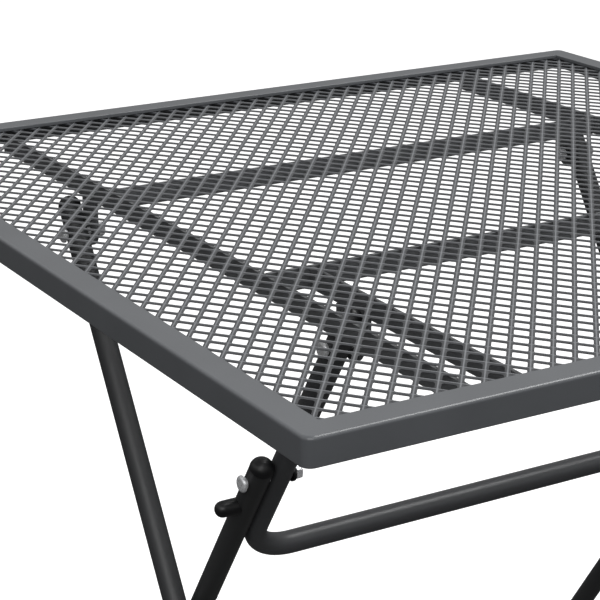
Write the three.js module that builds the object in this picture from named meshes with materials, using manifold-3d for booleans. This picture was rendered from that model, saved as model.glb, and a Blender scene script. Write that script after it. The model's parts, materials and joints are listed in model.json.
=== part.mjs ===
// Folding side table: a square steel top with a diamond mesh panel, two bent tube leg frames that
// cross like scissors, and a bent tube stay that locks the legs open and swings out to fold them.
// Millimetres, +Z up. The origin is on the floor under the middle of the top. X runs along the near
// and far edges of the top, and Y points from the near edge to the far edge.
import * as THREE from 'three';
import { mergeVertices } from 'three/addons/utils/BufferGeometryUtils.js';
import Module from 'manifold-3d';

const wasm = await Module();
wasm.setup();

// ---- Driving dimensions ----
const TOP_SIDE = 700;
const TOP_HEIGHT = 720;
const FIT_GAP = 0.3;

const RIM_WIDTH = 19.5;
const RIM_DEPTH = 17.6;
const RIM_SHEET = 1.8;
const RIM_ROUND = 2.2;
const RIM_CORNER = 6;
const WINDOW_CORNER = 1.5;

const MESH_SHEET = 0.8;
const MESH_TOP_DROP = 3.6;
const MESH_INSET = 5;
const MESH_CORNER = 2;

const BAR_THICKNESS = 3;
const BAR_DEPTH = 15;
const BAR_TOP_DROP = 6.5;
const BAR_END_INSET = 12.5;
const RAIL_X = 226;
const STUB_RAIL_X = 191;
const FRONT_BAR_Y = -89;
const BACK_BAR_Y = 140.5;

const TUBE_RADIUS = 8.5;
const TUBE_WALL = 1.2;
const TUBE_SIDES = 16;
const LEG_BEND = 45;
const STAY_BEND = 40;
const BEND_STEPS = 6;
const OUTER_LEG_X = 237.8;
const INNER_LEG_X = 220.3;
const STAY_X = 202.8;

const OUTER_LEG_SLOPE = THREE.MathUtils.degToRad(58.2);
const INNER_LEG_SLOPE = THREE.MathUtils.degToRad(57.4);
const SCISSOR = new THREE.Vector2(19.8, 423);
const LEG_PIVOT_DROP = 46.5;
const STAY_PIVOT_DROP = 43.7;
const LEG_BEYOND_PIVOT = 20.5;
const STAY_BEYOND_PIVOT = 26;
const LEG_BEYOND_LINK = 13;
const STAY_BAR_FROM_LINK = 96.2;

const CAP_COLLAR = 0.5;
const CAP_DOME = 8;
const CAP_PLUG = 7;
const GLIDE_SOLE = 3;
const GLIDE_LENGTH = 26;
const GLIDE_FROM_LEG = 75;
const GLIDE_WALL = 2.2;
const GLIDE_WALL_DROP = 5;
const GLIDE_SOLE_WIDTH = 16;

const BOLT_RADIUS = 3;
const BOLT_HEAD_RADIUS = 6;
const BOLT_HEAD_HEIGHT = 3;
const BOLT_HEAD_FLAT_RADIUS = 4.2;
const BOLT_NECK_RADIUS = 4.2;
const BOLT_NECK_LENGTH = 1.6;
const HOLE_RADIUS = BOLT_RADIUS + 0.4;
const NUT_RADIUS = 6;
const NUT_THICKNESS = 5;
const WASHER_RADIUS = 6.4;
const WASHER_THICKNESS = 2.2;
const BOLT_END = 1.5;
const BOLT_SIDES = 16;
const DRILL_SIDES = 12;

const LEG_EAR_RADIUS = 11;
const STAY_EAR_RADIUS = 12;
const STAY_EAR_TOP_HALF_WIDTH = 19;
const EAR_STRAIGHT = 11;

const PEG_RADIUS = 5.9;
const PEG_LENGTH = 15.2;
const PEG_ROUND_LENGTH = 6;
const PEG_FROM_LINK = 27;

// ---- Points of the side view, as (y, z) ----
const outerLegUp = new THREE.Vector2(Math.cos(OUTER_LEG_SLOPE), Math.sin(OUTER_LEG_SLOPE));
const innerLegUp = new THREE.Vector2(-Math.cos(INNER_LEG_SLOPE), Math.sin(INNER_LEG_SLOPE));

function pointAtHeight(direction, z) {
  return SCISSOR.clone().addScaledVector(direction, (z - SCISSOR.y) / direction.y);
}

const footHeight = TUBE_RADIUS + GLIDE_SOLE;
const legPivot = pointAtHeight(outerLegUp, TOP_HEIGHT - LEG_PIVOT_DROP);
const stayPivot = pointAtHeight(innerLegUp, TOP_HEIGHT - STAY_PIVOT_DROP);
const outerFoot = pointAtHeight(outerLegUp, footHeight);
const innerFoot = pointAtHeight(innerLegUp, footHeight);

// The link bolt's place makes the four pivots line up twice: once when open, once when folded.
const openSpan = SCISSOR.distanceTo(stayPivot);
const foldedSpan = legPivot.distanceTo(stayPivot) - legPivot.distanceTo(SCISSOR);
const link = SCISSOR.clone().addScaledVector(innerLegUp, (openSpan + foldedSpan) / 2);

const outerLegTop = legPivot.clone().addScaledVector(outerLegUp, LEG_BEYOND_PIVOT);
const innerLegTop = link.clone().addScaledVector(innerLegUp, LEG_BEYOND_LINK);
const stayTop = stayPivot.clone().addScaledVector(innerLegUp, STAY_BEYOND_PIVOT);
const stayBar = link.clone().addScaledVector(innerLegUp, -STAY_BAR_FROM_LINK);
const peg = link.clone().addScaledVector(innerLegUp, -PEG_FROM_LINK);

// ---- Materials ----
const topCoating = new THREE.MeshStandardMaterial({ color: 0x55575b, roughness: 0.5, metalness: 0.2 });
const meshCoating = new THREE.MeshStandardMaterial({ color: 0x4a4c50, roughness: 0.55, metalness: 0.2 });
const barCoating = new THREE.MeshStandardMaterial({ color: 0x3a3b3e, roughness: 0.55, metalness: 0.2 });
const legCoating = new THREE.MeshStandardMaterial({ color: 0x333538, roughness: 0.4, metalness: 0.2 });
const blackPlastic = new THREE.MeshStandardMaterial({ color: 0x101113, roughness: 0.35, metalness: 0 });
const zincSteel = new THREE.MeshStandardMaterial({ color: 0xc4c7ca, roughness: 0.3, metalness: 1 });

const table = new THREE.Group();
const SIDES = [['left', -1], ['right', 1]];

function add(name, geometry, material) {
  const mesh = new THREE.Mesh(geometry, material);
  mesh.name = name;
  table.add(mesh);
  return mesh;
}

// ---- Joining and cutting ----
function toSolid(geometry) {
  const bare = geometry.index ? geometry.toNonIndexed() : geometry.clone();
  bare.deleteAttribute('normal');
  bare.deleteAttribute('uv');
  const merged = mergeVertices(bare, 1e-4);
  return new wasm.Manifold(new wasm.Mesh({
    numProp: 3,
    vertProperties: new Float32Array(merged.attributes.position.array),
    triVerts: new Uint32Array(merged.index.array),
  }));
}

function toGeometry(solid) {
  const { numProp, vertProperties, triVerts } = solid.getMesh();
  const points = [];
  for (let start = 0; start < vertProperties.length; start += numProp) {
    points.push(vertProperties[start], vertProperties[start + 1], vertProperties[start + 2]);
  }
  const geometry = new THREE.BufferGeometry();
  geometry.setAttribute('position', new THREE.Float32BufferAttribute(points, 3));
  geometry.setIndex(Array.from(triVerts));
  geometry.computeVertexNormals();
  return geometry;
}

function cut(geometry, ...tools) {
  let solid = toSolid(geometry);
  for (const tool of tools) {
    solid = solid.subtract(toSolid(tool));
  }
  return toGeometry(solid);
}

// ---- Shapes ----
function roundedSquare(side, corner) {
  const half = side / 2;
  const inner = half - corner;
  const shape = new THREE.Shape();
  shape.moveTo(half, -inner);
  shape.lineTo(half, inner);
  shape.absarc(inner, inner, corner, 0, Math.PI / 2, false);
  shape.lineTo(-inner, half);
  shape.absarc(-inner, inner, corner, Math.PI / 2, Math.PI, false);
  shape.lineTo(-half, -inner);
  shape.absarc(-inner, -inner, corner, Math.PI, 1.5 * Math.PI, false);
  shape.lineTo(inner, -half);
  shape.absarc(inner, -inner, corner, 1.5 * Math.PI, 2 * Math.PI, false);
  return shape;
}

function slab(shape, low, high, curveSegments = 4) {
  const options = { depth: high - low, bevelEnabled: false, curveSegments };
  return new THREE.ExtrudeGeometry(shape, options).translate(0, 0, low);
}

function box(low, high) {
  const size = new THREE.Vector3().subVectors(high, low);
  const middle = new THREE.Vector3().addVectors(low, high).multiplyScalar(0.5);
  return new THREE.BoxGeometry(size.x, size.y, size.z).translate(middle.x, middle.y, middle.z);
}

// A flat shape drawn as (y, z) around a point of the side view, as thick as the two x values say.
function sidePlate(shape, xLow, xHigh, at, curveSegments = 8) {
  const options = { depth: xHigh - xLow, bevelEnabled: false, curveSegments };
  const geometry = new THREE.ExtrudeGeometry(shape, options);
  const axes = new THREE.Matrix4().makeBasis(
    new THREE.Vector3(0, 1, 0),
    new THREE.Vector3(0, 0, 1),
    new THREE.Vector3(1, 0, 0),
  );
  return geometry.applyMatrix4(axes).translate(xLow, at.x, at.y);
}

// A turned piece on an axis along X. The profile holds (radius, distance outwards from the middle
// plane of the table) pairs, and starts and ends on the axis, innermost point first.
function turnedAcross(side, profile, at) {
  const points = profile.map(([radius, out]) => new THREE.Vector2(radius, out));
  const geometry = new THREE.LatheGeometry(points, BOLT_SIDES);
  geometry.rotateZ(side > 0 ? -Math.PI / 2 : Math.PI / 2);
  return geometry.translate(0, at.x, at.y);
}

// A centre line of straight runs joined by arcs, with a station only where a bend needs one.
class BentLine extends THREE.Curve {
  constructor(corners, bendRadius, bendSteps) {
    super();
    this.stations = [corners[0]];
    this.headings = [new THREE.Vector3().subVectors(corners[1], corners[0]).normalize()];
    for (let i = 1; i < corners.length - 1; i += 1) {
      this.addBend(corners[i - 1], corners[i], corners[i + 1], bendRadius, bendSteps);
    }
    this.stations.push(corners.at(-1));
    this.headings.push(this.headings.at(-1).clone());
  }

  addBend(before, corner, after, bendRadius, bendSteps) {
    const heading = new THREE.Vector3().subVectors(corner, before).normalize();
    const leaving = new THREE.Vector3().subVectors(after, corner).normalize();
    const turn = heading.angleTo(leaving);
    const axis = new THREE.Vector3().crossVectors(heading, leaving).normalize();
    const towardsCentre = new THREE.Vector3().crossVectors(axis, heading);
    const centre = corner.clone()
      .addScaledVector(heading, -bendRadius * Math.tan(turn / 2))
      .addScaledVector(towardsCentre, bendRadius);
    for (let step = 0; step <= bendSteps; step += 1) {
      const angle = turn * step / bendSteps;
      const spoke = towardsCentre.clone().multiplyScalar(-bendRadius).applyAxisAngle(axis, angle);
      this.stations.push(centre.clone().add(spoke));
      this.headings.push(heading.clone().applyAxisAngle(axis, angle));
    }
  }

  get steps() {
    return this.stations.length - 1;
  }

  getPointAt(u, target = new THREE.Vector3()) {
    return target.copy(this.stations[Math.round(u * this.steps)]);
  }

  getTangentAt(u, target = new THREE.Vector3()) {
    return target.copy(this.headings[Math.round(u * this.steps)]);
  }
}

function hollowTube(corners, bendRadius) {
  const section = new THREE.Shape().absarc(0, 0, TUBE_RADIUS, 0, 2 * Math.PI, false);
  section.holes.push(new THREE.Path().absarc(0, 0, TUBE_RADIUS - TUBE_WALL, 0, 2 * Math.PI, false));
  const line = new BentLine(corners, bendRadius, BEND_STEPS);
  return new THREE.ExtrudeGeometry(section, {
    extrudePath: line,
    steps: line.steps,
    curveSegments: TUBE_SIDES / 2,
  });
}

// A U of tube: down one arm from its top, across at the foot, and up the other arm.
function uFrame(x, top, foot, bendRadius) {
  return hollowTube([
    new THREE.Vector3(-x, top.x, top.y),
    new THREE.Vector3(-x, foot.x, foot.y),
    new THREE.Vector3(x, foot.x, foot.y),
    new THREE.Vector3(x, top.x, top.y),
  ], bendRadius);
}

function drill(x, at) {
  const drillRod = new THREE.CylinderGeometry(HOLE_RADIUS, HOLE_RADIUS, 3 * TUBE_RADIUS, DRILL_SIDES);
  return drillRod.rotateZ(Math.PI / 2).translate(x, at.x, at.y);
}

// ---- The top: rim, mesh and the flat bars under it ----
function addTop() {
  const half = TOP_SIDE / 2;
  const underside = TOP_HEIGHT - RIM_DEPTH;
  const block = new THREE.ExtrudeGeometry(roundedSquare(TOP_SIDE, RIM_CORNER), {
    depth: RIM_DEPTH,
    bevelThickness: RIM_ROUND,
    bevelSize: RIM_ROUND,
    bevelOffset: -RIM_ROUND,
    bevelSegments: 3,
    curveSegments: 4,
  }).translate(0, 0, underside - RIM_ROUND);
  const spare = 20;
  const below = slab(roundedSquare(TOP_SIDE + spare, RIM_CORNER), underside - spare, underside);
  const hollowOutline = roundedSquare(TOP_SIDE - 2 * RIM_SHEET, RIM_CORNER - RIM_SHEET);
  const hollow = slab(hollowOutline, underside - spare, TOP_HEIGHT - RIM_SHEET);
  const windowOutline = roundedSquare(TOP_SIDE - 2 * RIM_WIDTH, WINDOW_CORNER);
  const window = slab(windowOutline, underside - spare, TOP_HEIGHT + spare);
  add('rim_frame', cut(block, below, hollow, window), topCoating);

  const meshTop = TOP_HEIGHT - MESH_TOP_DROP;
  const meshOutline = roundedSquare(TOP_SIDE - 2 * MESH_INSET, MESH_CORNER);
  add('mesh_panel', slab(meshOutline, meshTop - MESH_SHEET, meshTop), meshCoating);

  const barTop = TOP_HEIGHT - BAR_TOP_DROP;
  const barBottom = barTop - BAR_DEPTH;
  const halfBar = BAR_THICKNESS / 2;
  const barEnd = half - BAR_END_INSET;
  for (const [sideName, side] of SIDES) {
    const rail = box(
      new THREE.Vector3(side * RAIL_X - halfBar, -barEnd, barBottom),
      new THREE.Vector3(side * RAIL_X + halfBar, barEnd, barTop));
    add(`rail_${sideName}`, rail, barCoating);
    const stubRail = box(
      new THREE.Vector3(side * STUB_RAIL_X - halfBar, -barEnd, barBottom),
      new THREE.Vector3(side * STUB_RAIL_X + halfBar, FRONT_BAR_Y - halfBar - FIT_GAP, barTop));
    add(`stub_rail_${sideName}`, stubRail, barCoating);
  }
  const barHalfLength = RAIL_X - halfBar - FIT_GAP;
  for (const [name, y] of [['cross_bar_front', FRONT_BAR_Y], ['cross_bar_back', BACK_BAR_Y]]) {
    const bar = box(
      new THREE.Vector3(-barHalfLength, y - halfBar, barBottom),
      new THREE.Vector3(barHalfLength, y + halfBar, barTop));
    add(name, bar, barCoating);
  }
}

// A hanging ear under a bar: a straight-sided top, sides that close in, and a round end at the pivot.
function earShape(topRise, topHalfWidth, endRadius) {
  const shape = new THREE.Shape();
  shape.moveTo(topHalfWidth, topRise - EAR_STRAIGHT);
  shape.lineTo(topHalfWidth, topRise);
  shape.lineTo(-topHalfWidth, topRise);
  shape.lineTo(-topHalfWidth, topRise - EAR_STRAIGHT);
  shape.absarc(0, 0, endRadius, Math.PI, 2 * Math.PI, false);
  shape.holes.push(new THREE.Path().absarc(0, 0, HOLE_RADIUS, 0, 2 * Math.PI, false));
  return shape;
}

function addEars() {
  const earTop = TOP_HEIGHT - BAR_TOP_DROP - BAR_DEPTH - FIT_GAP;
  const halfBar = BAR_THICKNESS / 2;
  const legEar = earShape(earTop - legPivot.y, LEG_EAR_RADIUS, LEG_EAR_RADIUS);
  const stayEar = earShape(earTop - stayPivot.y, STAY_EAR_TOP_HALF_WIDTH, STAY_EAR_RADIUS);
  for (const [sideName, side] of SIDES) {
    const legPlate = sidePlate(legEar, side * RAIL_X - halfBar, side * RAIL_X + halfBar, legPivot);
    add(`leg_bracket_${sideName}`, legPlate, barCoating);
    const stayX = side * STUB_RAIL_X;
    const stayPlate = sidePlate(stayEar, stayX - halfBar, stayX + halfBar, stayPivot);
    add(`stay_bracket_${sideName}`, stayPlate, barCoating);
  }
}

// ---- Tube frames ----
function addFrames() {
  const outerDrills = [];
  const innerDrills = [];
  const stayDrills = [];
  for (const [, side] of SIDES) {
    outerDrills.push(drill(side * OUTER_LEG_X, legPivot), drill(side * OUTER_LEG_X, SCISSOR));
    innerDrills.push(drill(side * INNER_LEG_X, SCISSOR), drill(side * INNER_LEG_X, link));
    stayDrills.push(drill(side * STAY_X, link), drill(side * STAY_X, stayPivot));
  }
  const outerTube = uFrame(OUTER_LEG_X, outerLegTop, outerFoot, LEG_BEND);
  add('outer_leg_frame', cut(outerTube, ...outerDrills), legCoating);
  const innerTube = uFrame(INNER_LEG_X, innerLegTop, innerFoot, LEG_BEND);
  add('inner_leg_frame', cut(innerTube, ...innerDrills), legCoating);
  const stayTube = uFrame(STAY_X, stayTop, stayBar, STAY_BEND);
  add('stay_frame', cut(stayTube, ...stayDrills), legCoating);
}

// A domed plug in a tube's open top.
function addCap(name, x, top, up) {
  const plugRadius = TUBE_RADIUS - TUBE_WALL - FIT_GAP;
  const profile = [new THREE.Vector2(0, -CAP_PLUG), new THREE.Vector2(plugRadius, -CAP_PLUG)];
  profile.push(new THREE.Vector2(plugRadius, FIT_GAP), new THREE.Vector2(TUBE_RADIUS, FIT_GAP));
  const domeSteps = 5;
  for (let step = 0; step <= domeSteps; step += 1) {
    const angle = Math.PI / 2 * step / domeSteps;
    const radius = step === domeSteps ? 0 : TUBE_RADIUS * Math.cos(angle);
    profile.push(new THREE.Vector2(radius, FIT_GAP + CAP_COLLAR + CAP_DOME * Math.sin(angle)));
  }
  const cap = add(name, new THREE.LatheGeometry(profile, TUBE_SIDES), blackPlastic);
  cap.position.set(x, top.x, top.y);
  cap.quaternion.setFromUnitVectors(new THREE.Vector3(0, 1, 0), new THREE.Vector3(0, up.x, up.y));
}

// A saddle under a floor bar, with a flat sole.
function addGlide(name, x, foot) {
  const gripRadius = TUBE_RADIUS + FIT_GAP;
  const wallRadius = gripRadius + GLIDE_WALL;
  const soleHalf = GLIDE_SOLE_WIDTH / 2;
  const shape = new THREE.Shape();
  shape.moveTo(-wallRadius, 0);
  shape.lineTo(-wallRadius, -GLIDE_WALL_DROP);
  shape.lineTo(-soleHalf, -footHeight);
  shape.lineTo(soleHalf, -footHeight);
  shape.lineTo(wallRadius, -GLIDE_WALL_DROP);
  shape.lineTo(wallRadius, 0);
  shape.lineTo(gripRadius, 0);
  shape.absarc(0, 0, gripRadius, 0, Math.PI, true);
  const halfLength = GLIDE_LENGTH / 2;
  add(name, sidePlate(shape, x - halfLength, x + halfLength, foot), blackPlastic);
}

function addCapsAndGlides() {
  for (const [sideName, side] of SIDES) {
    addCap(`outer_leg_cap_${sideName}`, side * OUTER_LEG_X, outerLegTop, outerLegUp);
    addCap(`inner_leg_cap_${sideName}`, side * INNER_LEG_X, innerLegTop, innerLegUp);
    addCap(`stay_cap_${sideName}`, side * STAY_X, stayTop, innerLegUp);
    addGlide(`outer_leg_glide_${sideName}`, side * (OUTER_LEG_X - GLIDE_FROM_LEG), outerFoot);
    addGlide(`inner_leg_glide_${sideName}`, side * (INNER_LEG_X - GLIDE_FROM_LEG), innerFoot);
  }
}

// ---- Pivots ----
// Bolt with a low round head at outFace, a short neck under the head, and a shank to inEnd.
function boltProfile(inEnd, outFace) {
  const neckEnd = outFace + BOLT_NECK_LENGTH;
  const profile = [[0, inEnd], [BOLT_RADIUS, inEnd], [BOLT_RADIUS, outFace + FIT_GAP]];
  profile.push([BOLT_NECK_RADIUS, outFace + FIT_GAP], [BOLT_NECK_RADIUS, neckEnd]);
  profile.push([BOLT_HEAD_RADIUS, neckEnd], [BOLT_HEAD_RADIUS, neckEnd + BOLT_HEAD_HEIGHT / 2]);
  profile.push([BOLT_HEAD_FLAT_RADIUS, neckEnd + BOLT_HEAD_HEIGHT], [0, neckEnd + BOLT_HEAD_HEIGHT]);
  return profile;
}

function hexagon(boreRadius) {
  const shape = new THREE.Shape();
  for (let corner = 0; corner < 6; corner += 1) {
    const angle = Math.PI / 3 * corner + Math.PI / 6;
    const point = [NUT_RADIUS * Math.cos(angle), NUT_RADIUS * Math.sin(angle)];
    if (corner === 0) {
      shape.moveTo(...point);
    } else {
      shape.lineTo(...point);
    }
  }
  if (boreRadius > 0) {
    shape.holes.push(new THREE.Path().absarc(0, 0, boreRadius, 0, 2 * Math.PI, false));
  }
  return shape;
}

function disc(radius, boreRadius) {
  const shape = new THREE.Shape().absarc(0, 0, radius, 0, 2 * Math.PI, false);
  shape.holes.push(new THREE.Path().absarc(0, 0, boreRadius, 0, 2 * Math.PI, false));
  return shape;
}

// Washer and nut stacked inwards from outFace, which is a distance from the table's middle plane.
function addWasher(name, side, outFace, at) {
  const near = side * (outFace - FIT_GAP);
  const far = side * (outFace - FIT_GAP - WASHER_THICKNESS);
  const ring = disc(WASHER_RADIUS, HOLE_RADIUS);
  add(name, sidePlate(ring, Math.min(near, far), Math.max(near, far), at), blackPlastic);
}

function nutFace(outFace) {
  return outFace - 2 * FIT_GAP - WASHER_THICKNESS;
}

function addNut(name, side, outFace, at) {
  const near = side * nutFace(outFace);
  const far = side * (nutFace(outFace) - NUT_THICKNESS);
  const hex = hexagon(HOLE_RADIUS);
  add(name, sidePlate(hex, Math.min(near, far), Math.max(near, far), at), zincSteel);
}

function addThroughPivot(name, sideName, side, headFace, nutSideFace, at) {
  const tail = nutFace(nutSideFace) - NUT_THICKNESS - BOLT_END;
  add(`${name}_bolt_${sideName}`, turnedAcross(side, boltProfile(tail, headFace), at), zincSteel);
  addWasher(`${name}_washer_${sideName}`, side, nutSideFace, at);
  addNut(`${name}_nut_${sideName}`, side, nutSideFace, at);
}

// The link pivot is two pieces that meet between the tubes: the bolt stays with the inner leg,
// and the nut carries the last stretch of the shank through the stay.
function addLinkPivot(sideName, side) {
  const between = (INNER_LEG_X + STAY_X) / 2;
  const headFace = INNER_LEG_X + TUBE_RADIUS;
  const bolt = turnedAcross(side, boltProfile(between + FIT_GAP / 2, headFace), link);
  add(`link_bolt_${sideName}`, bolt, zincSteel);

  const stayFace = STAY_X - TUBE_RADIUS;
  addWasher(`link_washer_${sideName}`, side, stayFace, link);
  const nutOut = nutFace(stayFace);
  const near = side * nutOut;
  const far = side * (nutOut - NUT_THICKNESS);
  const hex = sidePlate(hexagon(0), Math.min(near, far), Math.max(near, far), link);
  const shankEnd = nutOut - NUT_THICKNESS - BOLT_END;
  const shankStart = between - FIT_GAP / 2;
  const shank = [[0, shankEnd], [BOLT_RADIUS, shankEnd], [BOLT_RADIUS, shankStart], [0, shankStart]];
  const joined = toSolid(hex).add(toSolid(turnedAcross(side, shank, link)));
  add(`link_nut_${sideName}`, toGeometry(joined), zincSteel);
}

// A round-ended plastic peg on the outer face of an inner leg: the outer leg folds down onto it.
function addPeg(sideName, side) {
  const base = INNER_LEG_X + TUBE_RADIUS + FIT_GAP;
  const roundStart = base + PEG_LENGTH - PEG_ROUND_LENGTH;
  const roundSteps = 4;
  const profile = [[0, base], [PEG_RADIUS, base]];
  for (let step = 0; step <= roundSteps; step += 1) {
    const angle = Math.PI / 2 * step / roundSteps;
    const radius = step === roundSteps ? 0 : PEG_RADIUS * Math.cos(angle);
    profile.push([radius, roundStart + PEG_ROUND_LENGTH * Math.sin(angle)]);
  }
  add(`stop_peg_${sideName}`, turnedAcross(side, profile, peg), blackPlastic);
}

function addPivots() {
  const halfBar = BAR_THICKNESS / 2;
  const outerFace = OUTER_LEG_X + TUBE_RADIUS;
  for (const [sideName, side] of SIDES) {
    addThroughPivot('leg_pivot', sideName, side, outerFace, RAIL_X - halfBar, legPivot);
    addThroughPivot('stay_pivot', sideName, side, STAY_X + TUBE_RADIUS, STUB_RAIL_X - halfBar, stayPivot);
    addThroughPivot('scissor', sideName, side, outerFace, INNER_LEG_X - TUBE_RADIUS, SCISSOR);
    addLinkPivot(sideName, side);
    addPeg(sideName, side);
  }
}

addTop();
addEars();
addFrames();
addCapsAndGlides();
addPivots();

export default table;
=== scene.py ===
"""The looks of the folding side table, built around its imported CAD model."""

import json
import math
from collections import namedtuple

import bmesh
import bpy
import numpy as np
from mathutils import Matrix, Vector


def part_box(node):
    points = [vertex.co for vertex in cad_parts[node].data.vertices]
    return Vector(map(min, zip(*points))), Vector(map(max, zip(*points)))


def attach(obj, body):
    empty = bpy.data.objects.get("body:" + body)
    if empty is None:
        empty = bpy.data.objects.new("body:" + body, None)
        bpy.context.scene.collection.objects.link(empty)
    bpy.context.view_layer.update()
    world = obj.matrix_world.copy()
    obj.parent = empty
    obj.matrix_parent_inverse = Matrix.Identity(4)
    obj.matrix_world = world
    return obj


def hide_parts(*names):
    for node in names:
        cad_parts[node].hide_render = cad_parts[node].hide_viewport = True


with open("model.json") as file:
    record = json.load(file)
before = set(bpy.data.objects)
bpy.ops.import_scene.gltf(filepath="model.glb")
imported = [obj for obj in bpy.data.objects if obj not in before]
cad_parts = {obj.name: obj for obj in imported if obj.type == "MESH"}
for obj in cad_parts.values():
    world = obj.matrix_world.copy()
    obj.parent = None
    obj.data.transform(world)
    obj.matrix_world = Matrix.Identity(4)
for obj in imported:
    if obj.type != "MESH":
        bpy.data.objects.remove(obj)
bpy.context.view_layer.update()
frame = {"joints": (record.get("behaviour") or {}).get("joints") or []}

MM = 0.001
SIDES = (("left", -1), ("right", 1))
TURNED_SIDES = 40
NEAR_ZERO = 1e-9

# ---- Sizes that the frame doesn't state ----
TUBE_RADIUS = 8.5 * MM
TUBE_WALL = 1.2 * MM
TUBE_SIDES = 40
LEG_BEND = 45 * MM
STAY_BEND = 40 * MM
BEND_STEPS = 16
BEND_FLATTENING = 0.05
LEG_BEYOND_PIVOT = 20.5 * MM
LEG_BEYOND_LINK = 13 * MM
STAY_BEYOND_PIVOT = 26 * MM

RIM_WIDTH = 19.5 * MM
RIM_SHEET = 1.8 * MM
RIM_ROUND = 2.3 * MM
RIM_EDGE = 0.7 * MM
RIM_FOLD = 1.0 * MM
RIM_CORNER = 6.5 * MM
RIM_LEAST_CORNER = 0.8 * MM
RIM_CORNER_STEPS = 8
RIM_LIP = 1.0 * MM
RIM_LIP_DROP = 3.2 * MM

MESH_PITCH_X = 15.7 * MM
MESH_PITCH_Y = 20.2 * MM
MESH_SHIFT = (2.55 * MM, -6.15 * MM)
MESH_HIDDEN_EDGE = 8 * MM
MESH_WELD = 0.02 * MM
STRAND_WIDTH = 3.5 * MM
STRAND_THICKNESS = 1.45 * MM
# A strand's section, from crest to underside: shares of its half width and of its half thickness.
STRAND_SECTION = ((0, 1), (0.26, 0.82), (1, -0.15), (0.8, -0.75), (0, -1))
OPENING_CORNER_CUT = 0.13
# How high above a strand's middle the painted highlight starts to lighten the coat and is brightest, as
# shares of its thickness.
HIGHLIGHT_START = 0.34
HIGHLIGHT_FULL = 0.5

BAR_EDGE = 0.5 * MM
EAR_STRAIGHT = 11 * MM
EAR_HOLE = 3.4 * MM
EAR_EDGE = 0.4 * MM
EAR_ROUND_STEPS = 20
HOLE_SIDES = 24

CAP_STEM = 7 * MM
CAP_STEM_TAPER = 1 * MM
CAP_STEM_PLAY = 0.3 * MM
CAP_GAP = 0.1 * MM
CAP_OVERHANG = 0.15 * MM
CAP_CHAMFER = 0.3 * MM
CAP_COLLAR = 0.7 * MM
CAP_DOME = 7.9 * MM
CAP_STEPS = 12

GLIDE_PLAY = 0.1 * MM
GLIDE_HALF_SOLE = 8 * MM
GLIDE_SHOULDER = 0.45
GLIDE_EDGE = 0.7 * MM
GLIDE_GRIP_STEPS = 24

SHANK_RADIUS = 3 * MM
SHANK_CHAMFER = 0.5 * MM
BOLT_NECK_RADIUS = 4.2 * MM
BOLT_NECK_LENGTH = 1.6 * MM
BOLT_NECK_CHAMFER = 0.1 * MM
BOLT_HEAD_RADIUS = 6 * MM
BOLT_HEAD_UNDERCUT = 0.5 * MM
BOLT_HEAD_CHAMFER = 0.4 * MM
# Shares of the head's height that its straight side takes, and of its radius that its flat top takes.
BOLT_HEAD_SIDE = 0.35
BOLT_HEAD_FLAT = 0.62
BOLT_STEPS = 8

WASHER_BORE = 3.3 * MM
WASHER_RADIUS = 6.4 * MM
WASHER_ROUND = 0.5 * MM

NUT_GAP = 0.3 * MM
NUT_LENGTH = 5 * MM
NUT_CORNER = 6 * MM
NUT_BORE = 3.1 * MM
NUT_STEPS = 48
NUT_EDGE = 0.15 * MM
# Shares of the nut's length, and of its corner radius that is left there.
NUT_SECTION = ((0, 0.86), (0.09, 1), (0.91, 1), (1, 0.86))

PEG_SUNK = 2.5 * MM
PEG_ROUND = 6 * MM
PEG_BLUNTNESS = 0.8
PEG_STEPS = 10

# ---- Looks ----
# Sky brightness by the sine of the elevation, mapped from -1..1 to 0..1.
SKY = (
    (0.42, 0.07),
    (0.5, 0.14),
    (0.6, 0.2),
    (0.64, 0.25),
    (0.69, 0.8),
    (0.76, 0.8),
    (1.0, 0.52),
)
FLOOR_REACH = 40
# The range that noise mostly keeps to.
NOISE_LOW = 0.3
NOISE_HIGH = 0.7
COAT_GRAIN = 0.025


# ---- Places taken from the frame ----
def joint_place(name):
    joint = next(joint for joint in frame["joints"] if joint["name"] == name)
    return Vector(joint["pos_m"])


def box_middle(node):
    low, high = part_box(node)
    return (low + high) / 2


def outward_span(node, side):
    """How far from the table's middle plane a node starts and ends, on its own side."""
    low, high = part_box(node)
    return (low.x, high.x) if side > 0 else (-high.x, -low.x)


leg_pivot = joint_place("leg_fold")
scissor = joint_place("scissor_fold")
stay_pivot = joint_place("stay_swing")
link = box_middle("link_bolt_left")
link.x = 0

outer_up = (leg_pivot - scissor).normalized()
inner_up = (link - scissor).normalized()


# ---- Camera, lights and floor ----
def look_from(place, heading, pitch, lens):
    """A camera that looks heading degrees from +Y towards +X, and pitch degrees down."""
    data = bpy.data.cameras.new("camera")
    data.lens = lens
    data.sensor_width = 36
    data.clip_end = 60
    camera = bpy.data.objects.new("camera", data)
    camera.location = place
    camera.rotation_euler = (math.radians(90 - pitch), 0, math.radians(-heading))
    bpy.context.scene.collection.objects.link(camera)
    bpy.context.scene.camera = camera


def area_light(name, place, target, size, watts):
    data = bpy.data.lights.new(name, "AREA")
    data.shape = "RECTANGLE"
    data.size, data.size_y = size
    data.energy = watts
    light = bpy.data.objects.new(name, data)
    light.location = place
    light.rotation_euler = (Vector(target) - Vector(place)).to_track_quat("-Z", "Y").to_euler()
    bpy.context.scene.collection.objects.link(light)


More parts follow.
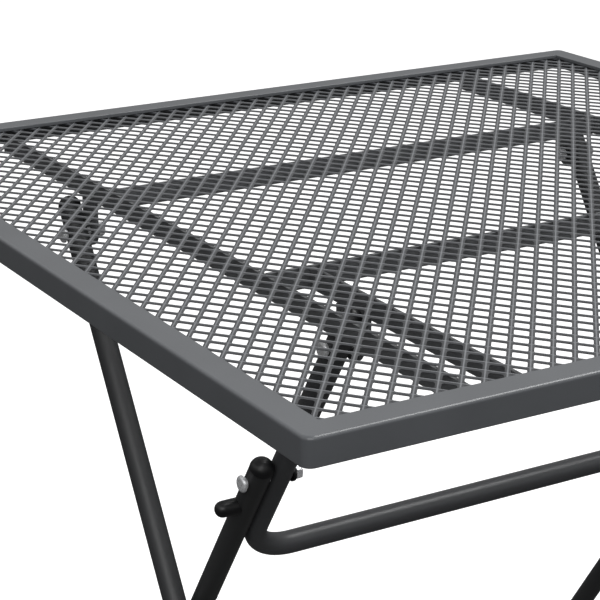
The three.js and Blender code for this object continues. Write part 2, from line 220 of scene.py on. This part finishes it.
def sky_shader(nodes, links):
    """Soft light that is brightest some 22 to 31 degrees up and dim below the horizon."""
    coordinates = nodes.new("ShaderNodeTexCoord")
    split = nodes.new("ShaderNodeSeparateXYZ")
    shift = nodes.new("ShaderNodeMapRange")
    ramp = nodes.new("ShaderNodeValToRGB")
    background = nodes.new("ShaderNodeBackground")
    shift.inputs["From Min"].default_value = -1
    ramp.color_ramp.elements.remove(ramp.color_ramp.elements[1])
    for number, (position, brightness) in enumerate(SKY):
        stop = ramp.color_ramp.elements[0] if number == 0 else ramp.color_ramp.elements.new(position)
        stop.position = position
        stop.color = (brightness, brightness, brightness, 1)
    links.new(coordinates.outputs["Generated"], split.inputs[0])
    links.new(split.outputs["Z"], shift.inputs["Value"])
    links.new(shift.outputs["Result"], ramp.inputs["Fac"])
    links.new(ramp.outputs["Color"], background.inputs["Color"])
    return background.outputs[0]


def studio_world():
    """The sky lights the table, while the camera sees a plain white backdrop."""
    world = bpy.data.worlds.new("studio")
    world.use_nodes = True
    nodes, links = world.node_tree.nodes, world.node_tree.links
    nodes.clear()
    backdrop = nodes.new("ShaderNodeBackground")
    backdrop.inputs["Color"].default_value = (1, 1, 1, 1)
    light_path = nodes.new("ShaderNodeLightPath")
    mix = nodes.new("ShaderNodeMixShader")
    output = nodes.new("ShaderNodeOutputWorld")
    links.new(light_path.outputs["Is Camera Ray"], mix.inputs["Fac"])
    links.new(sky_shader(nodes, links), mix.inputs[1])
    links.new(backdrop.outputs[0], mix.inputs[2])
    links.new(mix.outputs[0], output.inputs["Surface"])
    bpy.context.scene.world = world


def studio_floor():
    """A plain pale floor that the camera sees as near white. Diffuse and glossy rays don't see it."""
    reach = FLOOR_REACH
    data = bpy.data.meshes.new("floor")
    corners = [(-reach, -reach, 0), (reach, -reach, 0), (reach, reach, 0), (-reach, reach, 0)]
    data.from_pydata(corners, [], [(0, 1, 2, 3)])
    floor = bpy.data.objects.new("floor", data)
    bpy.context.scene.collection.objects.link(floor)
    material = bpy.data.materials.new("floor_pale")
    material.use_nodes = True
    shader = material.node_tree.nodes["Principled BSDF"]
    shader.inputs["Base Color"].default_value = (0.75, 0.75, 0.75, 1)
    shader.inputs["Roughness"].default_value = 0.9
    shader.inputs["Emission Color"].default_value = (1, 1, 1, 1)
    shader.inputs["Emission Strength"].default_value = 0.62
    data.materials.append(material)
    floor.visible_diffuse = False
    floor.visible_glossy = False


look_from(place=(-0.8279, -1.1519, 1.1138), heading=30.618, pitch=18.897, lens=120.12)
studio_world()
studio_floor()
area_light("overhead", place=(1.15, -0.45, 2.65), target=(0, 0, 0.7), size=(1.1, 1.1), watts=34)
area_light("front", place=(-1.7, -2.7, 2.9), target=(0, 0, 0.6), size=(3.2, 2.2), watts=62)
bpy.context.scene.view_settings.view_transform = "Standard"


# ---- Materials ----
def shaded(name):
    material = bpy.data.materials.new(name)
    material.use_nodes = True
    nodes = material.node_tree.nodes
    return material, nodes, material.node_tree.links, nodes["Principled BSDF"]


def noise(nodes, links, scale, detail=2.0, stretch=None):
    coordinates = nodes.new("ShaderNodeTexCoord")
    texture = nodes.new("ShaderNodeTexNoise")
    texture.inputs["Scale"].default_value = scale
    texture.inputs["Detail"].default_value = detail
    if stretch is None:
        links.new(coordinates.outputs["Object"], texture.inputs["Vector"])
    else:
        mapping = nodes.new("ShaderNodeMapping")
        mapping.inputs["Scale"].default_value = stretch
        links.new(coordinates.outputs["Object"], mapping.inputs["Vector"])
        links.new(mapping.outputs["Vector"], texture.inputs["Vector"])
    return texture.outputs["Fac"]


def ranged(nodes, links, value, low, high):
    """Spreads a noise value over the range from low to high."""
    spread = nodes.new("ShaderNodeMapRange")
    spread.inputs["From Min"].default_value = NOISE_LOW
    spread.inputs["From Max"].default_value = NOISE_HIGH
    spread.inputs["To Min"].default_value = low
    spread.inputs["To Max"].default_value = high
    links.new(value, spread.inputs["Value"])
    return spread.outputs["Result"]


def mixed(nodes, links, factor, first_colour, second_colour):
    mix = nodes.new("ShaderNodeMix")
    mix.data_type = "RGBA"
    mix.inputs["A"].default_value = (*first_colour, 1)
    mix.inputs["B"].default_value = (*second_colour, 1)
    links.new(factor, mix.inputs["Factor"])
    return mix.outputs["Result"]


def mottled(nodes, links, colour, value, spread):
    """The colour, a little lighter and darker as the value wanders."""
    darker = [part * (1 - spread) for part in colour]
    lighter = [part * (1 + spread) for part in colour]
    return mixed(nodes, links, ranged(nodes, links, value, 0, 1), darker, lighter)


def add_bump(nodes, links, shader, height, strength, depth):
    bump = nodes.new("ShaderNodeBump")
    bump.inputs["Strength"].default_value = strength
    bump.inputs["Distance"].default_value = depth
    links.new(height, bump.inputs["Height"])
    links.new(bump.outputs["Normal"], shader.inputs["Normal"])


def uncoloured_coat(name, roughness, peel_strength=0.12):
    """Satin powder coat before its colour, with fine orange peel."""
    material, nodes, links, shader = shaded(name)
    grain = noise(nodes, links, scale=900)
    peel = noise(nodes, links, scale=650, detail=1)
    low, high = roughness - COAT_GRAIN, roughness + COAT_GRAIN
    links.new(ranged(nodes, links, grain, low, high), shader.inputs["Roughness"])
    add_bump(nodes, links, shader, peel, strength=peel_strength, depth=0.15 * MM)
    return material, nodes, links, shader


def powder_coat(name, colour, roughness, peel_strength=0.12):
    """Satin powder coat with faint mottling."""
    material, nodes, links, shader = uncoloured_coat(name, roughness, peel_strength)
    cloud = noise(nodes, links, scale=22, detail=3)
    links.new(mottled(nodes, links, colour, cloud, spread=0.05), shader.inputs["Base Color"])
    return material


def painted_crest_highlight_coat(name, painted_shade_colour, painted_highlight_colour, level, roughness):
    """Satin powder coat with painted light: lighter towards the crests of strands whose middles are at this
    level as a painted highlight, and darker on their sides as painted shade.
    """
    material, nodes, links, shader = uncoloured_coat(name, roughness)
    coordinates = nodes.new("ShaderNodeTexCoord")
    split = nodes.new("ShaderNodeSeparateXYZ")
    rise = nodes.new("ShaderNodeMapRange")
    rise.inputs["From Min"].default_value = level + HIGHLIGHT_START * STRAND_THICKNESS
    rise.inputs["From Max"].default_value = level + HIGHLIGHT_FULL * STRAND_THICKNESS
    links.new(coordinates.outputs["Object"], split.inputs[0])
    links.new(split.outputs["Z"], rise.inputs["Value"])
    colour = mixed(nodes, links, rise.outputs["Result"], painted_shade_colour, painted_highlight_colour)
    links.new(colour, shader.inputs["Base Color"])
    return material


def moulded_plastic(name, colour, roughness):
    """Plastic with a fine moulded grain and cloudy gloss."""
    material, nodes, links, shader = shaded(name)
    cloud = noise(nodes, links, scale=160, detail=3)
    spark = noise(nodes, links, scale=2600)
    links.new(mottled(nodes, links, colour, cloud, spread=0.15), shader.inputs["Base Color"])
    links.new(ranged(nodes, links, cloud, roughness - 0.06, roughness + 0.06), shader.inputs["Roughness"])
    add_bump(nodes, links, shader, spark, strength=0.1, depth=0.05 * MM)
    return material


def zinc_plate(name, colour, roughness):
    """Bright zinc on steel, with fine drawn scratches and a slight cloudiness."""
    material, nodes, links, shader = shaded(name)
    shader.inputs["Metallic"].default_value = 0.5
    cloud = noise(nodes, links, scale=420, detail=3)
    scratches = noise(nodes, links, scale=500, detail=3, stretch=(6, 1, 1))
    links.new(mottled(nodes, links, colour, cloud, spread=0.1), shader.inputs["Base Color"])
    links.new(ranged(nodes, links, scratches, roughness - 0.08, roughness + 0.1), shader.inputs["Roughness"])
    add_bump(nodes, links, shader, scratches, strength=0.12, depth=0.05 * MM)
    return material


rim_coat = powder_coat("rim_coat", (0.093, 0.098, 0.105), roughness=0.31, peel_strength=0.035)
# The strands' crests get a painted highlight and their sides painted shade, both in the base colour.
mesh_coat = painted_crest_highlight_coat(
    "mesh_coat",
    painted_shade_colour=(0.036, 0.038, 0.042),
    painted_highlight_colour=(0.19, 0.198, 0.21),
    level=box_middle("mesh_panel").z,
    roughness=0.33,
)
# The bars' coat is the rim's anthracite painted lighter: painted light that makes up for the mesh's shade on
# them.
bar_coat = powder_coat("bar_coat", (0.12, 0.124, 0.13), roughness=0.42)
# The legs and the stay share one anthracite coat, here in lit and shaded copies: the legs are painted darker
# as painted shade, the stay lighter as painted light.
outer_coat = powder_coat("outer_leg_coat", (0.036, 0.037, 0.039), roughness=0.46)
inner_coat = powder_coat("inner_leg_coat", (0.028, 0.029, 0.03), roughness=0.36)
stay_coat = powder_coat("stay_coat", (0.062, 0.064, 0.068), roughness=0.34)
black_plastic = moulded_plastic("black_plastic", (0.005, 0.0052, 0.006), roughness=0.4)
zinc = zinc_plate("zinc_plate", (0.9, 0.91, 0.93), roughness=0.3)


# ---- Making pieces ----
def piece(name, data, material, body, nodes, sharp_degrees=35, flat_faces=True):
    """Makes a mesh into a piece that rides on a body and stands for some CAD nodes."""
    data.materials.append(material)
    data.polygons.foreach_set("use_smooth", [True] * len(data.polygons))
    data.set_sharp_from_angle(angle=math.radians(sharp_degrees))
    made = bpy.data.objects.new(name, data)
    bpy.context.scene.collection.objects.link(made)
    if flat_faces:
        flatten = made.modifiers.new("flat_faces_stay_flat", "WEIGHTED_NORMAL")
        flatten.keep_sharp = True
    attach(made, body)
    if nodes:
        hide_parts(*nodes)


def plain_mesh(name, vertices, faces):
    data = bpy.data.meshes.new(name)
    data.from_pydata(vertices, [], faces)
    work = bmesh.new()
    work.from_mesh(data)
    bmesh.ops.remove_doubles(work, verts=work.verts, dist=1e-7)
    bmesh.ops.recalc_face_normals(work, faces=work.faces)
    work.to_mesh(data)
    work.free()
    return data


def ring_faces(first, second, count):
    """Quads between two closed rings of points that start at these numbers."""
    return [(first + i, first + (i + 1) % count, second + (i + 1) % count, second + i) for i in range(count)]


def looped_mesh(name, rings):
    """A surface through equal rings, from the last of which it goes back to the first."""
    count = len(rings[0])
    vertices = [point for ring in rings for point in ring]
    faces = []
    for number in range(len(rings)):
        following = (number + 1) % len(rings)
        faces += ring_faces(number * count, following * count, count)
    return plain_mesh(name, vertices, faces)


def arc(centre, radius, start, end, steps):
    """Points along an arc, as (across, up) pairs, with angles in degrees."""
    turns = [math.radians(start + (end - start) * step / steps) for step in range(steps + 1)]
    return [(centre[0] + radius * math.cos(turn), centre[1] + radius * math.sin(turn)) for turn in turns]


def quarter_turn(steps):
    """Angles in equal steps up to a right angle, without the zero."""
    return [math.pi / 2 * step / steps for step in range(1, steps + 1)]


def spokes(axis):
    """Unit vectors that point away from a unit axis all round."""
    across = axis.orthogonal().normalized()
    upward = axis.cross(across)
    turns = [2 * math.pi * side / TURNED_SIDES for side in range(TURNED_SIDES)]
    return [across * math.cos(turn) + upward * math.sin(turn) for turn in turns]


def lathe_mesh(name, profile, origin, axis):
    """A turned body: the profile holds (radius, distance along the axis) pairs from axis to axis."""
    axis = axis.normalized()
    around = spokes(axis)
    vertices, faces = [], []
    starts = []
    for radius, along in profile:
        starts.append(len(vertices))
        middle = origin + axis * along
        if radius < NEAR_ZERO:
            vertices.append(middle)
        else:
            vertices += [middle + spoke * radius for spoke in around]
    following = [(i + 1) % TURNED_SIDES for i in range(TURNED_SIDES)]
    for number in range(len(profile) - 1):
        first, second = starts[number], starts[number + 1]
        if profile[number][0] < NEAR_ZERO:
            faces += [(first, second + i, second + after) for i, after in enumerate(following)]
        elif profile[number + 1][0] < NEAR_ZERO:
            faces += [(first + i, first + after, second) for i, after in enumerate(following)]
        else:
            faces += ring_faces(first, second, TURNED_SIDES)
    return plain_mesh(name, vertices, faces)


def ring_mesh(name, profile, origin, axis):
    """A turned ring: the profile is a closed outline that doesn't touch the axis."""
    axis = axis.normalized()
    rings = [[origin + axis * along + spoke * radius for radius, along in profile] for spoke in spokes(axis)]
    return looped_mesh(name, rings)


def round_edges(data, width, segments=2, sharper_than=30):
    """Rounds every edge where two faces meet at more than so many degrees."""
    work = bmesh.new()
    work.from_mesh(data)
    limit = math.radians(sharper_than)
    edges = [edge for edge in work.edges if edge.is_manifold and edge.calc_face_angle() > limit]
    bmesh.ops.bevel(work, geom=edges, offset=width, segments=segments, profile=0.5, affect="EDGES")
    work.to_mesh(data)
    work.free()


def box_mesh(name, low, high):
    work = bmesh.new()
    bmesh.ops.create_cube(work, size=1)
    size = high - low
    place = Matrix.Translation((low + high) / 2) @ Matrix.Diagonal((size.x, size.y, size.z, 1))
    bmesh.ops.transform(work, matrix=place, verts=work.verts)
    data = bpy.data.meshes.new(name)
    work.to_mesh(data)
    work.free()
    return data


def plate_mesh(name, outline, x_low, x_high, hole_radius=0):
    """A plate across X from an outline of (y, z) points, with a round hole at the outline's origin."""
    work = bmesh.new()
    loops = [outline]
    if hole_radius:
        last_turn = 360 * (1 - 1 / HOLE_SIDES)
        loops.append(arc((0, 0), hole_radius, start=0, end=last_turn, steps=HOLE_SIDES - 1))
    edges = []
    for loop in loops:
        points = [work.verts.new((x_low, y, z)) for y, z in loop]
        edges += [work.edges.new((points[i], points[(i + 1) % len(points)])) for i in range(len(points))]
    made = bmesh.ops.triangle_fill(work, edges=edges, use_beauty=True)
    faces = [item for item in made["geom"] if isinstance(item, bmesh.types.BMFace)]
    grown = bmesh.ops.extrude_face_region(work, geom=faces)
    moved = [item for item in grown["geom"] if isinstance(item, bmesh.types.BMVert)]
    bmesh.ops.translate(work, verts=moved, vec=(x_high - x_low, 0, 0))
    bmesh.ops.recalc_face_normals(work, faces=work.faces)
    data = bpy.data.meshes.new(name)
    work.to_mesh(data)
    work.free()
    return data


# ---- The rim ----
def rim_profile(depth):
    """The rim's L section as (inset from the outer face, height from the top) pairs."""
    under = -RIM_SHEET
    foot = -depth + RIM_EDGE
    half_lip, half_sheet = RIM_LIP / 2, RIM_SHEET / 2
    points = [(0, foot)]
    points += arc((RIM_ROUND, -RIM_ROUND), RIM_ROUND, start=180, end=90, steps=7)
    points += arc((RIM_WIDTH - RIM_EDGE, -RIM_EDGE), RIM_EDGE, start=90, end=0, steps=3)
    points += arc((RIM_WIDTH - half_lip, -RIM_LIP_DROP + half_lip), half_lip, start=0, end=-180, steps=4)
    points += [(RIM_WIDTH - RIM_LIP, under)]
    points += arc((RIM_SHEET + RIM_FOLD, under - RIM_FOLD), RIM_FOLD, start=90, end=180, steps=4)
    points += arc((half_sheet, foot), half_sheet, start=0, end=-180, steps=6)[:-1]
    return points


def make_rim():
    low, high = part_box("rim_frame")
    half = high.x
    rings = []
    for quarter in range(4):
        diagonal = math.radians(90 * quarter + 45)
        for step in range(RIM_CORNER_STEPS + 1):
            turn = math.radians(90 * quarter + 90 * step / RIM_CORNER_STEPS)
            ring = []
            for inset, rise in rim_profile(high.z - low.z):
                radius = max(RIM_CORNER - inset, RIM_LEAST_CORNER)
                centre = (half - inset - radius) * math.sqrt(2)
                x = centre * math.cos(diagonal) + radius * math.cos(turn)
                y = centre * math.sin(diagonal) + radius * math.sin(turn)
                ring.append(Vector((x, y, high.z + rise)))
            rings.append(ring)
    data = looped_mesh("rim", rings)
    piece("rim", data, rim_coat, "tabletop", ["rim_frame"], sharp_degrees=50)


# ---- The expanded metal mesh ----
def cell_rings():
    """One diamond opening: rings of (x, y, z) points from the strands' crest down round their sides."""
    half_x, half_y = MESH_PITCH_X / 2, MESH_PITCH_Y / 2
    reach = half_x * half_y / math.hypot(half_x, half_y)
    corners = [(half_x, 0), (0, half_y), (-half_x, 0), (0, -half_y)]
    rings = []
    for width_share, height_share in STRAND_SECTION:
        scale = 1 - STRAND_WIDTH / 2 * width_share / reach
        # The further the strands reach into the opening, the more its corners are cut off.
        cut = OPENING_CORNER_CUT * width_share
        ring = []
        for number, (x, y) in enumerate(corners):
            next_x, next_y = corners[(number + 1) % len(corners)]
            for fraction in (cut, 1 - cut):
                point_x = scale * (x + (next_x - x) * fraction)
                point_y = scale * (y + (next_y - y) * fraction)
                ring.append((point_x, point_y, STRAND_THICKNESS / 2 * height_share))
        rings.append(ring)
    return np.array(rings)


def cell_centres(reach_x, reach_y):
    """The middles of all openings within reach. Every other row is shifted by half a pitch."""
    columns = int(reach_x / MESH_PITCH_X) + 1
    rows = int(reach_y / MESH_PITCH_Y) + 1
    centres = []
    for row in range(-rows, rows + 1):
        for column in range(-columns, columns + 1):
            for shift in (0, 0.5):
                x = (column + shift) * MESH_PITCH_X + MESH_SHIFT[0]
                y = (row + shift) * MESH_PITCH_Y + MESH_SHIFT[1]
                if abs(x) <= reach_x and abs(y) <= reach_y:
                    centres.append((x, y))
    return centres


def make_mesh_panel():
    """The openings' sides, welded where cells meet, with the outer edge closed by a wall."""
    low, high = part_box("mesh_panel")
    level = (low.z + high.z) / 2
    rings = cell_rings()
    layers, count = rings.shape[:2]
    vertices, faces = [], []
    for x, y in cell_centres(high.x - MESH_HIDDEN_EDGE, high.y - MESH_PITCH_Y / 2):
        start = len(vertices)
        moved = rings + np.array((x, y, level))
        vertices += [tuple(point) for point in moved.reshape(-1, 3)]
        for layer in range(layers - 1):
            faces += ring_faces(start + layer * count, start + (layer + 1) * count, count)
    data = bpy.data.meshes.new("mesh_panel_diamond")
    data.from_pydata(vertices, [], faces)
    work = bmesh.new()
    work.from_mesh(data)
    bmesh.ops.remove_doubles(work, verts=work.verts, dist=MESH_WELD)
    open_edges = [edge for edge in work.edges if edge.is_boundary]
    bmesh.ops.bridge_loops(work, edges=open_edges)
    bmesh.ops.recalc_face_normals(work, faces=work.faces)
    work.to_mesh(data)
    work.free()
    piece(
        "mesh_diamonds",
        data,
        mesh_coat,
        "tabletop",
        ["mesh_panel"],
        sharp_degrees=80,
        flat_faces=False,
    )


# ---- Flat bars and brackets under the top ----
def make_bars():
    names = ["cross_bar_front", "cross_bar_back"]
    names += [f"{kind}_{side_name}" for kind in ("rail", "stub_rail") for side_name, _ in SIDES]
    for name in names:
        low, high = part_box(name)
        data = box_mesh(name + "_bar", low, high)
        round_edges(data, BAR_EDGE)
        piece(name + "_bar", data, bar_coat, "tabletop", [name])


def make_ears():
    """Brackets that are straight at the top and round about their bolt hole."""
    for kind, pivot in (("leg", leg_pivot), ("stay", stay_pivot)):
        for side_name, _ in SIDES:
            node = f"{kind}_bracket_{side_name}"
            low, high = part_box(node)
            rise = high.z - pivot.z
            shoulder = rise - EAR_STRAIGHT
            half_width = (high.y - low.y) / 2
            outline = [(half_width, shoulder), (half_width, rise)]
            outline += [(-half_width, rise), (-half_width, shoulder)]
            outline += arc((0, 0), pivot.z - low.z, start=180, end=360, steps=EAR_ROUND_STEPS)
            data = plate_mesh(node + "_ear", outline, low.x, high.x, hole_radius=EAR_HOLE)
            data.transform(Matrix.Translation((0, pivot.y, pivot.z)))
            round_edges(data, EAR_EDGE)
            piece(node + "_ear", data, bar_coat, "tabletop", [node])


# ---- Bent tubes ----
TubeFrame = namedtuple("TubeFrame", "name body x up top foot bend coat slot")


def tube_frame(name, body, up, top, line_point, bend, coat, slot):
    """A U of tube: its legs run along up, through line_point, from top down to its foot bar."""
    low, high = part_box(name + "_frame")
    foot = line_point + up * ((low.z + TUBE_RADIUS - line_point.z) / up.z)
    return TubeFrame(name, body, high.x - TUBE_RADIUS, up, top, foot, bend, coat, slot)


outer_leg = tube_frame(
    "outer_leg",
    "outer_legs",
    up=outer_up,
    top=leg_pivot + outer_up * LEG_BEYOND_PIVOT,
    line_point=scissor,
    bend=LEG_BEND,
    coat=outer_coat,
    slot="outer_leg_coating",
)
inner_leg = tube_frame(
    "inner_leg",
    "inner_legs",
    up=inner_up,
    top=link + inner_up * LEG_BEYOND_LINK,
    line_point=scissor,
    bend=LEG_BEND,
    coat=inner_coat,
    slot="inner_tube_coating",
)
stay = tube_frame(
    "stay",
    "stay",
    up=inner_up,
    top=stay_pivot + inner_up * STAY_BEYOND_PIVOT,
    line_point=link,
    bend=STAY_BEND,
    coat=stay_coat,
    slot="inner_tube_coating",
)


def bent_line(corners, bend_radius):
    """Stations down a line of straight runs and arcs: (place, heading, how far into a bend)."""
    stations = [(corners[0], (corners[1] - corners[0]).normalized(), 0)]
    for before, corner, after in zip(corners, corners[1:], corners[2:]):
        heading = (corner - before).normalized()
        leaving = (after - corner).normalized()
        turn = heading.angle(leaving)
        axis = heading.cross(leaving).normalized()
        inward = axis.cross(heading)
        centre = corner - heading * (bend_radius * math.tan(turn / 2)) + inward * bend_radius
        for step in range(BEND_STEPS + 1):
            rotation = Matrix.Rotation(turn * step / BEND_STEPS, 3, axis)
            place = centre + rotation @ (inward * -bend_radius)
            stations.append((place, rotation @ heading, math.sin(math.pi * step / BEND_STEPS)))
    stations.append((corners[-1], stations[-1][1], 0))
    return stations


def tube_mesh(name, corners, bend_radius):
    """A hollow tube that is a little flattened where it bends, open at both ends."""
    stations = bent_line(corners, bend_radius)
    normal = (corners[1] - corners[0]).cross(corners[2] - corners[1]).normalized()
    turns = [2 * math.pi * side / TUBE_SIDES for side in range(TUBE_SIDES)]
    skins = []
    for radius in (TUBE_RADIUS, TUBE_RADIUS - TUBE_WALL):
        rings = []
        for place, heading, bend in stations:
            across = heading.cross(normal)
            squeeze = 1 - BEND_FLATTENING * bend
            rings.append([
                place + normal * (radius * math.cos(turn)) + across * (radius * squeeze * math.sin(turn))
                for turn in turns
            ])
        skins.append(rings)
    return looped_mesh(name, skins[0] + skins[1][::-1])


def make_tubes():
    for tube in (outer_leg, inner_leg, stay):
        name = tube.name + "_tube"
        left = [Vector((-tube.x, end.y, end.z)) for end in (tube.top, tube.foot)]
        right = [Vector((tube.x, end.y, end.z)) for end in (tube.foot, tube.top)]
        data = tube_mesh(name, left + right, tube.bend)
        piece(name, data, tube.coat, tube.body, [tube.name + "_frame"])


def make_caps():
    """Domed plugs: a stem in the tube, a collar with a softened edge, and a dome."""
    stem = TUBE_RADIUS - TUBE_WALL - CAP_STEM_PLAY
    lip = TUBE_RADIUS + CAP_OVERHANG
    dome_start = CAP_GAP + CAP_COLLAR
    profile = [(0, -CAP_STEM), (stem - CAP_STEM_TAPER, -CAP_STEM), (stem, CAP_STEM_TAPER - CAP_STEM)]
    profile += [(stem, CAP_GAP), (lip - CAP_CHAMFER, CAP_GAP), (lip, CAP_GAP + CAP_CHAMFER)]
    profile += [(lip, dome_start)]
    profile += [
        (lip * math.cos(turn), dome_start + CAP_DOME * math.sin(turn)) for turn in quarter_turn(CAP_STEPS)
    ]
    profile[-1] = (0, profile[-1][1])
    for tube in (outer_leg, inner_leg, stay):
        for side_name, side in SIDES:
            node = f"{tube.name}_cap_{side_name}"
            place = Vector((side * tube.x, tube.top.y, tube.top.z))
            data = lathe_mesh(node + "_dome", profile, place, tube.up)
            piece(node + "_dome", data, black_plastic, tube.body, [node], sharp_degrees=50)


def make_glides():
    """Saddles that hold the floor bars from below and narrow towards their soles."""
    for tube in (outer_leg, inner_leg):
        for side_name, _ in SIDES:
            node = f"{tube.name}_glide_{side_name}"
            low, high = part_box(node)
            wall = (high.y - low.y) / 2
            sole = low.z - tube.foot.z
            shoulder = GLIDE_SHOULDER * sole
            outline = [(-wall, 0), (-wall, shoulder), (-GLIDE_HALF_SOLE, sole)]
            outline += [(GLIDE_HALF_SOLE, sole), (wall, shoulder), (wall, 0)]
            outline += arc((0, 0), TUBE_RADIUS + GLIDE_PLAY, start=0, end=-180, steps=GLIDE_GRIP_STEPS)
            data = plate_mesh(node + "_saddle", outline, low.x, high.x)
            data.transform(Matrix.Translation((0, tube.foot.y, tube.foot.z)))
            round_edges(data, GLIDE_EDGE, segments=3, sharper_than=35)
            piece(node + "_saddle", data, black_plastic, tube.body, [node])


# ---- Pivots ----
def sideways_body(name, profile, side, place):
    """A turned body along X through place. Its profile runs outwards from the table's middle plane."""
    return lathe_mesh(name, profile, Vector((0, place.y, place.z)), Vector((side, 0, 0)))


def shank_tail(start):
    """The chamfered inner end of a bolt's shank, from its axis out to its skin."""
    return [(0, start), (SHANK_RADIUS - SHANK_CHAMFER, start), (SHANK_RADIUS, start + SHANK_CHAMFER)]


def bolt_profile(inner_end, face, head_end):
    """Bolt along its axis from its tail to its head, with a low round head on a short neck."""
    neck_end = face + BOLT_NECK_LENGTH
    rise = head_end - neck_end
    dome_start = neck_end + BOLT_HEAD_SIDE * rise
    profile = shank_tail(inner_end) + [(SHANK_RADIUS, face)]
    profile.append((BOLT_NECK_RADIUS, face + BOLT_NECK_CHAMFER))
    profile.append((BOLT_NECK_RADIUS, neck_end - BOLT_NECK_CHAMFER))
    profile.append((BOLT_HEAD_RADIUS - BOLT_HEAD_UNDERCUT, neck_end))
    profile += [(BOLT_HEAD_RADIUS, neck_end + BOLT_HEAD_CHAMFER), (BOLT_HEAD_RADIUS, dome_start)]
    for turn in quarter_turn(BOLT_STEPS):
        radius = BOLT_HEAD_RADIUS * (BOLT_HEAD_FLAT + (1 - BOLT_HEAD_FLAT) * math.cos(turn))
        profile.append((radius, dome_start + (1 - BOLT_HEAD_SIDE) * rise * math.sin(turn)))
    profile.append((0, head_end))
    return profile


def hex_nut_mesh(name, x_near, x_far, place):
    """A hexagon nut with chamfered corners. Its bore is a little wider than the bolt's shank."""
    turns = [2 * math.pi * step / NUT_STEPS for step in range(NUT_STEPS)]
    half_flat = math.pi / 6
    rings = []
    for along, corner_share in NUT_SECTION:
        x = x_near + (x_far - x_near) * along
        ring = []
        for turn in turns:
            off_flat = (turn + half_flat) % (2 * half_flat) - half_flat
            hexagon = NUT_CORNER * math.cos(half_flat) / math.cos(off_flat)
            reach = min(hexagon, NUT_CORNER * corner_share)
            ring.append(Vector((x, place.y + math.cos(turn) * reach, place.z + math.sin(turn) * reach)))
        rings.append(ring)
    for x in (x_far, x_near):
        centre = Vector((x, place.y, place.z))
        rings.append([centre + Vector((0, math.cos(turn), math.sin(turn))) * NUT_BORE for turn in turns])
    return looped_mesh(name, rings)


def washer_profile(thickness):
    """A washer's section, from its bore along one face, round the rim and back along the other."""
    round_middle = WASHER_RADIUS - WASHER_ROUND
    profile = [(WASHER_BORE, 0), (round_middle, 0)]
    profile += arc((round_middle, WASHER_ROUND), WASHER_ROUND, start=-60, end=0, steps=3)
    profile += arc((round_middle, thickness - WASHER_ROUND), WASHER_ROUND, start=0, end=90, steps=4)
    profile.append((WASHER_BORE, thickness))
    return profile


def make_bolt(node, side, face, body, place):
    tail, head = outward_span(node, side)
    data = sideways_body(node + "_turned", bolt_profile(tail, face, head), side, place)
    piece(node + "_turned", data, zinc, body, [node], sharp_degrees=40)


def make_washer(node, side, body, place):
    inner, outer = outward_span(node, side)
    start = Vector((side * outer, place.y, place.z))
    data = ring_mesh(node + "_ring", washer_profile(outer - inner), start, Vector((-side, 0, 0)))
    piece(node + "_ring", data, black_plastic, body, [node], sharp_degrees=50)


def make_nut(node, side, body, place, washer):
    """The nut lies a small gap further in than its washer."""
    washer_inner, _ = outward_span(washer, side)
    near = side * (washer_inner - NUT_GAP)
    data = hex_nut_mesh(node + "_hex", near, near - side * NUT_LENGTH, place)
    round_edges(data, NUT_EDGE, segments=1, sharper_than=40)
    piece(node + "_hex", data, zinc, body, [node], sharp_degrees=25)


def make_pivot(name, side_name, side, place, face, bolt_body, nut_body):
    """A bolt that bears on face, and the washer and nut on its inner end."""
    washer = f"{name}_washer_{side_name}"
    make_bolt(f"{name}_bolt_{side_name}", side, face, bolt_body, place)
    make_washer(washer, side, nut_body, place)
    make_nut(f"{name}_nut_{side_name}", side, nut_body, place, washer)


def make_link_shank(side_name, side):
    """The last stretch of the link bolt's shank, which moves with the nut on the stay."""
    node = f"link_nut_{side_name}"
    tail, start = outward_span(node, side)
    profile = shank_tail(tail) + [(SHANK_RADIUS, start), (0, start)]
    data = sideways_body(node + "_shank", profile, side, link)
    piece(node + "_shank", data, zinc, "stay", [])


def make_pivots():
    leg_face = outer_leg.x + TUBE_RADIUS
    stay_face = stay.x + TUBE_RADIUS
    link_face = inner_leg.x + TUBE_RADIUS
    for side_name, side in SIDES:
        make_pivot("leg_pivot", side_name, side, leg_pivot, leg_face, "tabletop", "tabletop")
        make_pivot("stay_pivot", side_name, side, stay_pivot, stay_face, "tabletop", "tabletop")
        make_pivot("scissor", side_name, side, scissor, leg_face, "outer_legs", "outer_legs")
        make_pivot("link", side_name, side, link, link_face, "inner_legs", "stay")
        make_link_shank(side_name, side)


def make_pegs():
    """Blunt round-ended pegs that stand out from the inner legs, sunk a little into the tube."""
    for side_name, side in SIDES:
        node = f"stop_peg_{side_name}"
        base, tip = outward_span(node, side)
        low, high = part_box(node)
        radius = (high.z - low.z) / 2
        sunk = base - PEG_SUNK
        profile = [(0, sunk), (radius, sunk), (radius, tip - PEG_ROUND)]
        for turn in quarter_turn(PEG_STEPS)[:-1]:
            profile.append((radius * math.cos(turn) ** PEG_BLUNTNESS, tip - PEG_ROUND * (1 - math.sin(turn))))
        profile.append((0, tip))
        data = sideways_body(node + "_round", profile, side, box_middle(node))
        piece(node + "_round", data, black_plastic, "inner_legs", [node], sharp_degrees=50)


make_rim()
make_mesh_panel()
make_bars()
make_ears()
make_tubes()
make_caps()
make_glides()
make_pivots()
make_pegs()
